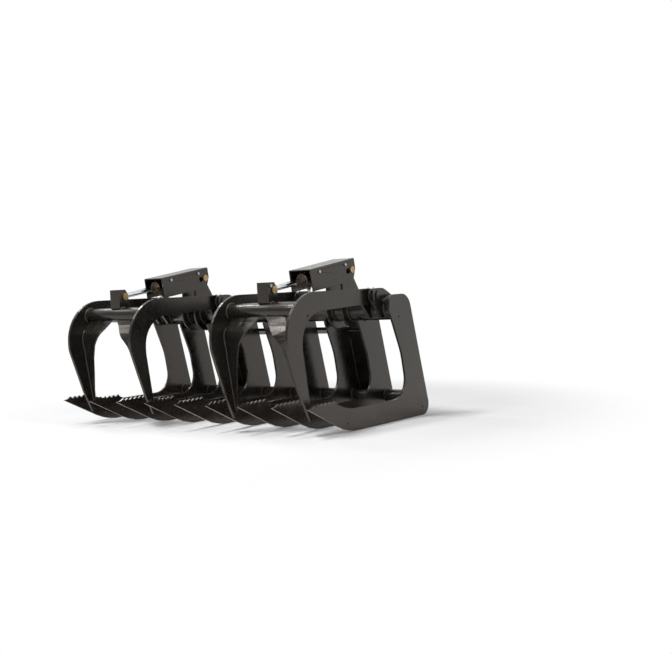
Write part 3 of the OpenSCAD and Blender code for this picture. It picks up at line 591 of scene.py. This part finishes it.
# Coupler welds: the rear plates against the floor plates, and along the top of the flange
back = next(m for m in frame["record"]["mounts"] if m["name"] == "coupler_back_face")
out = Vector(back["axis"])
rise = Vector((0, -out.z, out.y))
face = Vector(back["pos_m"]).dot(out)


def on_face(x, depth, height):
    """A point of the leaning coupler frame: depth ahead of its rear face, height along its slope."""
    return Vector((x, 0, 0)) + out * (face - depth) + rise * height


def heights(node):
    return [vert.co.dot(rise) for vert in nodes[node].data.vertices]


bm = bmesh.new()
plate_low, plate_high = min(heights("coupler_plates")), max(heights("coupler_plates"))
shelf_top = max(heights("coupler_shelf"))
for low_x, high_x in solids("coupler_plates"):
    line_bead(bm, on_face(low_x + SHELF_WELD_END, 0, shelf_top),
              on_face(high_x - SHELF_WELD_END, 0, shelf_top), out, rise)
    for name in nodes:
        if not name.startswith("floor_tine"):
            continue
        tine_low, tine_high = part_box(name)
        if tine_low.x > low_x and tine_high.x < high_x:
            for x, side in ((tine_low.x, -1), (tine_high.x, 1)):
                line_bead(bm, on_face(x, COUPLER_PLATE, plate_low + PLATE_WELD_FOOT),
                          on_face(x, COUPLER_PLATE, plate_high - PLATE_WELD_HEAD),
                          Vector((side, 0, 0)), -out)
new_piece("frame_coupler_welds", bm, weld, "frame")

# The floor is matt near the object, where it holds the shadow, and fades to plain white beyond
mesh = bpy.data.meshes.new("floor")
bm = bmesh.new()
bmesh.ops.create_grid(bm, x_segments=1, y_segments=1, size=FLOOR_HALF)
bm.to_mesh(mesh)
bm.free()
floor = bpy.data.objects.new("floor", mesh)
bpy.context.collection.objects.link(floor)

floor_mat = bpy.data.materials.new("pale_floor")
floor_mat.use_nodes = True
fn, fl = floor_mat.node_tree.nodes, floor_mat.node_tree.links
shader = fn["Principled BSDF"]
shader.inputs["Base Color"].default_value = FLOOR_TONE
shader.inputs["Roughness"].default_value = FLOOR_ROUGHNESS
glow = fn.new("ShaderNodeEmission")
glow.inputs["Color"].default_value = WHITE
coord = fn.new("ShaderNodeTexCoord")
distance = fn.new("ShaderNodeVectorMath")
distance.operation = "LENGTH"
fl.new(coord.outputs["Object"], distance.inputs[0])
fade = fn.new("ShaderNodeMapRange")
fade.interpolation_type = "SMOOTHSTEP"
fade.inputs["From Min"].default_value = FADE_FROM
fade.inputs["From Max"].default_value = FADE_TO
fl.new(distance.outputs["Value"], fade.inputs["Value"])
path = fn.new("ShaderNodeLightPath")
seen = math_node(floor_mat, "MAXIMUM", path.outputs["Is Camera Ray"], path.outputs["Is Glossy Ray"])
share = math_node(floor_mat, "MULTIPLY", fade.outputs["Result"], seen)
blend = fn.new("ShaderNodeMixShader")
fl.new(share, blend.inputs[0])
fl.new(shader.outputs[0], blend.inputs[1])
fl.new(glow.outputs[0], blend.inputs[2])
fl.new(blend.outputs[0], fn["Material Output"].inputs["Surface"])
floor.data.materials.append(floor_mat)

# The camera sees plain white, gloss mirrors the room from its dim to its bright side, and the rest
# of the light that falls on the object is the faint ambient tone
world = bpy.data.worlds.new("studio")
bpy.context.scene.world = world
world.use_nodes = True
wn, wl = world.node_tree.nodes, world.node_tree.links
background = wn["Background"]
background.inputs["Strength"].default_value = 1.0
path = wn.new("ShaderNodeLightPath")
way = wn.new("ShaderNodeTexCoord")
facing = wn.new("ShaderNodeVectorMath")
facing.operation = "DOT_PRODUCT"
facing.inputs[1].default_value = BRIGHT_SIDE
wl.new(way.outputs["Generated"], facing.inputs[0])
walls = wn.new("ShaderNodeMapRange")
walls.inputs["From Min"].default_value = DIM_SIDE_AT
walls.inputs["From Max"].default_value = BRIGHT_SIDE_AT
wl.new(facing.outputs["Value"], walls.inputs["Value"])
mirrored = wn.new("ShaderNodeMix")
mirrored.data_type = "RGBA"
wl.new(walls.outputs["Result"], mirrored.inputs[0])
mirrored.inputs[6].default_value = DIM_SIDE_TONE
mirrored.inputs[7].default_value = WHITE
shade = wn.new("ShaderNodeMix")
shade.data_type = "RGBA"
wl.new(path.outputs["Is Glossy Ray"], shade.inputs[0])
shade.inputs[6].default_value = AMBIENT
wl.new(mirrored.outputs[2], shade.inputs[7])
sky = wn.new("ShaderNodeMix")
sky.data_type = "RGBA"
wl.new(path.outputs["Is Camera Ray"], sky.inputs[0])
wl.new(shade.outputs[2], sky.inputs[6])
sky.inputs[7].default_value = WHITE
wl.new(sky.outputs[2], background.inputs["Color"])


def lamp(name, place, aim, width, height, power):
    data = bpy.data.lights.new(name, "AREA")
    data.shape = "RECTANGLE"
    data.size, data.size_y = width, height
    data.energy = power
    light = bpy.data.objects.new(name, data)
    light.location = place
    light.rotation_euler = (Vector(aim) - Vector(place)).to_track_quat("-Z", "Y").to_euler()
    bpy.context.collection.objects.link(light)


for values in LAMPS:
    lamp(*values)

# The camera stands where the photo's stood
data = bpy.data.cameras.new("camera")
data.sensor_fit = "HORIZONTAL"
data.sensor_width = SENSOR
data.lens = FOCAL_PX * SENSOR / IMAGE_W
data.shift_x = (IMAGE_W / 2 - PRINCIPAL_PX[0]) / IMAGE_W
data.shift_y = (PRINCIPAL_PX[1] - IMAGE_H / 2) / IMAGE_W
data.clip_end = 2.5 * FLOOR_HALF
camera = bpy.data.objects.new("camera", data)
bpy.context.collection.objects.link(camera)
axes = Matrix((CAMERA_RIGHT, -CAMERA_DOWN, -CAMERA_FORWARD)).transposed().to_4x4()
axes.translation = CAMERA_FROM_TUBE + Vector((0, tube.y, 0))
camera.matrix_world = axes
bpy.context.scene.camera = camera
bpy.context.scene.view_settings.view_transform = "Standard"
